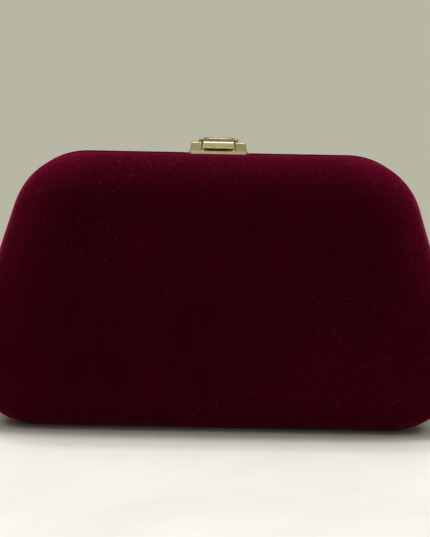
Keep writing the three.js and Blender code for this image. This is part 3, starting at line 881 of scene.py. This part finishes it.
def add_rear_base():
    """A plate behind the parting plane, with an ear at each end that holds the pin."""
    y0, y1 = rear_base_low.y, rear_base_high.y
    z0 = rear_base_low.z
    floor = z0 + 1.2 * MM
    half = rear_base_high.x
    outline = [(-half, z0), (half, z0), (half, floor), (-half, floor)]
    # The plate is in a rougher, darker gold: a painted shade.
    plate = prism("clasp_rear_plate", "y", outline, y0, y1, GOLD_ROUGH_PAINTED_SHADE, 0.2 * MM)
    finish_piece(plate, REAR, "clasp_gold", "clasp_rear_base")
    cy, cz = CLASP_PIN
    sunk = floor - 0.3 * MM
    outline = [(cy - EAR_RADIUS, sunk), (cy + EAR_RADIUS, sunk)]
    outline += arc(cy, cz, EAR_RADIUS, 0, 180, 24)
    # The ears are in the darker gold: a painted shade.
    for name, x0, x1 in (("left", -half, -BLOCK_INNER), ("right", BLOCK_INNER, half)):
        ear = prism(f"clasp_ear_{name}", "x", outline, x0, x1, GOLD_SHADED, 0.25 * MM)
        finish_piece(ear, REAR, "clasp_gold")


def add_clasp_pin():
    """The pin, with a domed head outside each ear."""
    end = clasp_pin_high.x
    seat = end - 0.55 * MM
    head = (clasp_pin_high.z - clasp_pin_low.z) / 2
    shank = 0.8 * MM
    profile = [(0.45 * head, -end), (0.8 * head, -end + 0.08 * MM), (head, -end + 0.3 * MM)]
    profile += [(head, -seat), (shank, -seat), (shank, seat), (head, seat)]
    profile += [(head, end - 0.3 * MM), (0.8 * head, end - 0.08 * MM), (0.45 * head, end)]
    # The pin is in a rougher, darker gold: a painted shade.
    made = turned("clasp_pin_rod", profile, (0, *CLASP_PIN), "x", GOLD_ROUGH_PAINTED_SHADE)
    finish_piece(made, REAR, "clasp_gold", "clasp_pin")


def add_lever_roll():
    """The hollow knuckle that turns on the pin."""
    bore, edge = 0.9 * MM, 0.2 * MM
    profile = [(bore, -LEVER_HALF), (ROLL_RADIUS - edge, -LEVER_HALF)]
    profile += [(ROLL_RADIUS, edge - LEVER_HALF), (ROLL_RADIUS, LEVER_HALF - edge)]
    profile += [(ROLL_RADIUS - edge, LEVER_HALF), (bore, LEVER_HALF)]
    # The knuckle is in the darker gold: a painted shade.
    made = turned("clasp_lever_roll", profile, (0, *CLASP_PIN), "x", GOLD_SHADED, hollow=True)
    finish_piece(made, LEVER, "clasp_gold")


def add_lever_plate():
    """The lever's flat top, rounded nose, grooved face and finger lip, and the bar behind it that
    the catch holds."""
    front, lip = front_base_low.y, lever_low.z
    top = HEIGHT + 5.5 * MM
    under = top - 1.1 * MM
    back = CLASP_PIN[0] - 1.1 * MM
    nose = 1.9 * MM
    outline = [(back, top)]
    outline += arc(front + nose - 0.2 * MM, top - nose, nose, 90, 178, 14)
    outline += [(front - 0.08 * MM, lip + 1.25 * MM), (front + 0.02 * MM, lip + 1.1 * MM)]
    outline += [(front - 0.08 * MM, lip + 0.95 * MM)]
    outline += arc(front - 0.05 * MM, lip + 0.5 * MM, 0.45 * MM, 110, 270, 8)
    outline += [(front + 0.5 * MM, lip + 0.05 * MM), (front + 0.9 * MM, lip + 0.7 * MM)]
    outline += [(front + 1.3 * MM, under), (back, under)]
    made = prism("clasp_lever_plate", "x", outline, -LEVER_HALF, LEVER_HALF, GOLD, 0.22 * MM)
    finish_piece(made, LEVER, "clasp_gold", "clasp_lever")
    foot = front_base_low.z + 1.7 * MM
    hook = [(-5.4 * MM, foot), (-4.5 * MM, foot), (-4.8 * MM, lip + 0.9 * MM)]
    hook += [(-4.6 * MM, under + 0.3 * MM), (-5.4 * MM, under + 0.3 * MM)]
    # The bar is in the darkest gold: a painted shade for the gap under the lever.
    bar = prism("clasp_hook_bar", "x", hook, -LEVER_HALF, LEVER_HALF, GOLD_DEEP_PAINTED_SHADE, 0.1 * MM)
    finish_piece(bar, LEVER, "clasp_gold")


add_front_base()
add_rear_base()
add_clasp_pin()
add_lever_roll()
add_lever_plate()

# The CAD solids that stay visible only need their materials.
for node, material in (
    ("clasp_catch_spring", STEEL),
    ("clasp_front_backing", STEEL),
    ("clasp_rear_backing", STEEL),
    ("front_shell", BOARD),
    ("rear_shell", BOARD),
):
    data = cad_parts[node].data
    data.materials.clear()
    data.materials.append(material)

# -------- gussets and pocket --------

GUSSET_TOP = 74 * MM
GUSSET_LOW_ANGLE = -60         # where it begins on the bottom corner's arc, in degrees
GUSSET_INSET = 5.8 * MM        # from the outline to its outer edge, on the lining
GUSSET_DEPTH = 10 * MM
GUSSET_PLEATS = 3
GUSSET_SPREAD = 1.9 * MM       # half its width when the case is shut
GUSSET_THICK = 0.2 * MM


def side_x(z, inset):
    """x of the case's leaning side at the height z and an inset."""
    return (SIDE_REACH - inset - z * math.sin(SIDE_LEAN)) / math.cos(SIDE_LEAN)


def gusset_spine(inset, steps):
    """(x, z) points up the side at an inset, from beside the hinge to the gusset's top."""
    cx, cz = BOTTOM_CENTRE
    curve = arc(cx, cz, BOTTOM_RADIUS - inset, GUSSET_LOW_ANGLE, math.degrees(SIDE_LEAN), steps)
    z1 = curve[-1][1]
    rise = [z1 + (GUSSET_TOP - z1) * i / steps for i in range(1, steps + 1)]
    return curve + [(side_x(z, inset), z) for z in rise]


def add_gusset(name, side):
    """A pleated satin fan, folded flat between the halves."""
    steps, across = 14, 6 * GUSSET_PLEATS
    outer = gusset_spine(GUSSET_INSET, steps)
    inner = gusset_spine(GUSSET_INSET + GUSSET_DEPTH, steps)
    spread = GUSSET_SPREAD
    vertices = []
    for i, ((ox, oz), (ix, iz)) in enumerate(zip(outer, inner)):
        up = i / (len(outer) - 1)
        # The pleats are shallow at the bottom and deepest about two thirds of the way up.
        reach = 0.15 + 0.85 * math.sin(math.pi * min(1, 0.12 + 0.88 * (1 - up) ** 0.7))
        for j in range(across + 1):
            v = j / across
            fold = abs((v * GUSSET_PLEATS) % 1 * 2 - 1)
            depth = (1 - fold) ** 0.9 * reach
            x, z = ox + (ix - ox) * depth, oz + (iz - oz) * depth
            vertices.append((side * x, spread * (1 - 2 * v), z))
    rows, columns = len(outer), across + 1
    faces = []
    for i in range(rows - 1):
        for j in range(columns - 1):
            a = i * columns + j
            faces.append((a, a + 1, a + columns + 1, a + columns))
    made = add_mesh(name, vertices, faces, SATIN)
    solid = made.modifiers.new("cloth", "SOLIDIFY")
    solid.thickness = GUSSET_THICK
    solid.offset = 0
    with bpy.context.temp_override(object=made, active_object=made, selected_objects=[made]):
        bpy.context.view_layer.objects.active = made
        bpy.ops.object.modifier_apply(modifier="cloth")
    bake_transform(made)
    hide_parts("gusset_left" if side < 0 else "gusset_right")
    return made


for name, side in (("gusset_cloth_left", -1), ("gusset_cloth_right", 1)):
    piece = add_gusset(name, side)

POCKET_CORNER = 0.16           # shares of its height: the rounding of its lower corners,
POCKET_HEM = 0.88              # and where the hem begins
POCKET_THICK = 0.28 * MM
POCKET_STITCH = 2.0 * MM       # from one stitch to the next
POCKET_COLUMNS, POCKET_ROWS = 72, 48
SEAM_U, SEAM_V = 0.965, 0.035  # where the seam runs, in pocket_place's shares
STITCH_LONG, STITCH_THICK, STITCH_SIDES = 1.1 * MM, 0.16 * MM, 6
STITCH_PROUD = 0.06 * MM
# Rings of a stitch: place along it from -1 to 1, width, and height, as shares.
STITCH_RINGS = ((-1, 0.35, 0.6), (-0.6, 1.0, 1), (0.6, 1.0, 1), (1, 0.35, 0.6))


def pocket_place(low, high, u, v):
    """The slip pocket's outer face at u across, -1 to 1, and v up, 0 to 1."""
    corner = max(0, POCKET_CORNER - v) / POCKET_CORNER
    width = 1 - 0.06 * corner**2 - 0.012 * v
    bulge = (1 - u**4) * math.sin(math.pi * (0.15 + 0.75 * v)) * 0.55 * MM
    ripple = math.sin(u * 46 + 1.3 * math.sin(u * 9)) * (1 - abs(u) ** 8)
    gather = 0.16 * MM * ripple * smooth(0.4, POCKET_HEM, v)
    hem = 0.22 * MM * smooth(POCKET_HEM, POCKET_HEM + 0.03, v)
    y = high.y - 0.35 * MM - bulge - gather - hem
    return Vector((u * high.x * width, max(y, low.y - 0.6 * MM), low.z + (high.z - low.z) * v))


def add_stitches(name, path, body):
    """A row of short raised stitches. path is (place, direction, outward) for each one."""
    long, thick, sides = STITCH_LONG, STITCH_THICK, STITCH_SIDES
    vertices, faces = [], []
    for place, along, out in path:
        across = along.cross(out).normalized()
        first = len(vertices)
        for end, share, flat in STITCH_RINGS:
            for i in range(sides):
                a = 2 * math.pi * i / sides
                ring = across * math.cos(a) + out * (math.sin(a) * flat)
                vertices.append(place + along * (end * long / 2) + ring * thick * share)
        for r in range(len(STITCH_RINGS) - 1):
            for i in range(sides):
                j = (i + 1) % sides
                a = first + r * sides
                faces.append((a + i, a + j, a + sides + j, a + sides + i))
        faces.append(tuple(first + i for i in range(sides)))
        last = first + (len(STITCH_RINGS) - 1) * sides
        faces.append(tuple(last + i for i in reversed(range(sides))))
    made = add_mesh(name, vertices, faces, THREAD)
    face_outward(made)
    finish_piece(made, body, "satin")


def add_pocket_cloth(low, high):
    """The pocket's two faces, a little apart, joined round their rim."""
    columns, rows = POCKET_COLUMNS, POCKET_ROWS
    vertices, faces = [], []
    for layer in (0, 1):
        for i in range(rows + 1):
            for j in range(columns + 1):
                spot = pocket_place(low, high, j / columns * 2 - 1, i / rows)
                vertices.append(spot + Vector((0, POCKET_THICK * layer, 0)))
    wide = columns + 1
    size = (rows + 1) * wide
    for i in range(rows):
        for j in range(columns):
            a = i * wide + j
            faces.append((a, a + 1, a + wide + 1, a + wide))
            faces.append((size + a, size + a + wide, size + a + wide + 1, size + a + 1))
    rim = list(range(wide))
    rim += [i * wide + columns for i in range(1, rows + 1)]
    rim += [rows * wide + j for j in range(columns - 1, -1, -1)]
    rim += [i * wide for i in range(rows - 1, 0, -1)]
    for a, b in zip(rim, rim[1:] + rim[:1]):
        faces.append((a, size + a, size + b, b))
    made = add_mesh("slip_pocket_cloth", vertices, faces, SATIN)
    face_outward(made)
    finish_piece(made, REAR, "satin", "rear_slip_pocket")


def add_pocket_seam(low, high):
    """The stitches down the left side, along the bottom, up the right side and along the hem."""
    out = Vector((0, -1, 0))
    step_u, step_v = POCKET_STITCH / high.x, POCKET_STITCH / (high.z - low.z)
    spots = [(-SEAM_U, v) for v in np.arange(POCKET_HEM, SEAM_V, -step_v)]
    spots += [(u, SEAM_V) for u in np.arange(-SEAM_U, SEAM_U, step_u)]
    spots += [(SEAM_U, v) for v in np.arange(SEAM_V, POCKET_HEM, step_v)]
    spots += [(u, POCKET_HEM) for u in np.arange(SEAM_U, -SEAM_U, -step_u)]
    places = [pocket_place(low, high, u, v) + out * STITCH_PROUD for u, v in spots]
    path = []
    for i, place in enumerate(places):
        along = (places[(i + 1) % len(places)] - place).normalized()
        path.append((place, along, out))
    add_stitches("slip_pocket_stitches", path, REAR)


# A satin slip pocket on the rear lining: gathered at its hemmed top, sewn on round the rest.
add_pocket_cloth(*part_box("rear_slip_pocket"))
add_pocket_seam(*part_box("rear_slip_pocket"))

# -------- stage, lights and camera --------

FLOOR_RADIUS = 0.5
FLOOR_STEPS = 128


def add_floor():
    """A plain pale round table top."""
    turn = 2 * math.pi / FLOOR_STEPS
    rim = [
        (FLOOR_RADIUS * math.cos(turn * i), FLOOR_RADIUS * math.sin(turn * i), 0)
        for i in range(FLOOR_STEPS)
    ]
    m = Nodes("floor")
    cloud = m.noise(9, 4, 0.6, distortion=1.2)
    m.feed("Base Color", m.mix(m.ramp(cloud, 0.35, 0.7), (0.67, 0.65, 0.615), (0.61, 0.585, 0.55)))
    m.set(roughness=0.5, specular_ior_level=0.3)
    floor = add_mesh("floor", rim, [tuple(range(FLOOR_STEPS))], m.material, False)


def add_area(name, place, target, size, energy, glossy=True):
    """An area light. One that isn't glossy leaves no reflection of itself in the gold."""
    light = bpy.data.lights.new(name, "AREA")
    light.shape = "RECTANGLE"
    light.size, light.size_y = size
    light.energy = energy
    lamp = bpy.data.objects.new(name, light)
    lamp.visible_glossy = glossy
    lamp.location = place
    lamp.rotation_euler = (Vector(target) - Vector(place)).to_track_quat("-Z", "Y").to_euler()
    bpy.context.scene.collection.objects.link(lamp)


WALL_COLOUR = (0.479, 0.468, 0.376)
WALL_FILL = 0.40               # how much of the wall's light reaches the object


def add_world():
    """A plain wall, seen and reflected at full strength, that lights the object less."""
    world = bpy.data.worlds.new("world")
    bpy.context.scene.world = world
    world.use_nodes = True
    background = world.node_tree.nodes["Background"]
    background.inputs["Color"].default_value = (*WALL_COLOUR, 1)
    rays = world.node_tree.nodes.new("ShaderNodeLightPath")
    strength = world.node_tree.nodes.new("ShaderNodeMapRange")
    strength.inputs["To Min"].default_value = 1.0
    strength.inputs["To Max"].default_value = WALL_FILL
    world.node_tree.links.new(rays.outputs["Is Diffuse Ray"], strength.inputs["Value"])
    world.node_tree.links.new(strength.outputs["Result"], background.inputs["Strength"])


CAMERA_DISTANCE = 486.3 * MM
CAMERA_HEIGHT = 138 * MM
CAMERA_ASIDE = -0.5 * MM
CAMERA_PITCH = math.radians(8.08)
CAMERA_ROLL = math.radians(1.1)
FOCAL_PIXELS = 1100
FRAME_LONG_SIDE = 537          # pixels
SENSOR = 36                    # mm


def add_camera():
    """The photograph's camera, fitted to the outline of the case."""
    data = bpy.data.cameras.new("camera")
    data.sensor_width = SENSOR
    data.lens = FOCAL_PIXELS * SENSOR / FRAME_LONG_SIDE
    data.clip_start = 0.01
    camera = bpy.data.objects.new("camera", data)
    camera.location = (CAMERA_ASIDE, -CAMERA_DISTANCE, CAMERA_HEIGHT)
    camera.rotation_euler = (math.pi / 2 - CAMERA_PITCH, 0, 0)
    camera.rotation_euler.rotate_axis("Z", CAMERA_ROLL)
    bpy.context.scene.collection.objects.link(camera)
    bpy.context.scene.camera = camera


add_floor()
add_world()
add_area("key", (0.03, 0.08, 1.35), (0, 0, 0.05), (0.14, 0.14), 10.4, False)
add_area("second", (-0.05, 0.24, 1.30), (0, 0, 0.05), (0.10, 0.10), 5.2, False)
add_area("left", (-0.7, -0.05, 0.85), (0, 0, 0.06), (0.4, 0.4), 2.8, False)
add_area("right", (0.7, -0.05, 0.85), (0, 0, 0.06), (0.4, 0.4), 2.8, False)
add_area("panel", (0.0, 0.34, 1.25), (0, 0, 0.08), (0.9, 0.5), 4.5)
add_camera()

bpy.context.scene.view_settings.view_transform = "Standard"
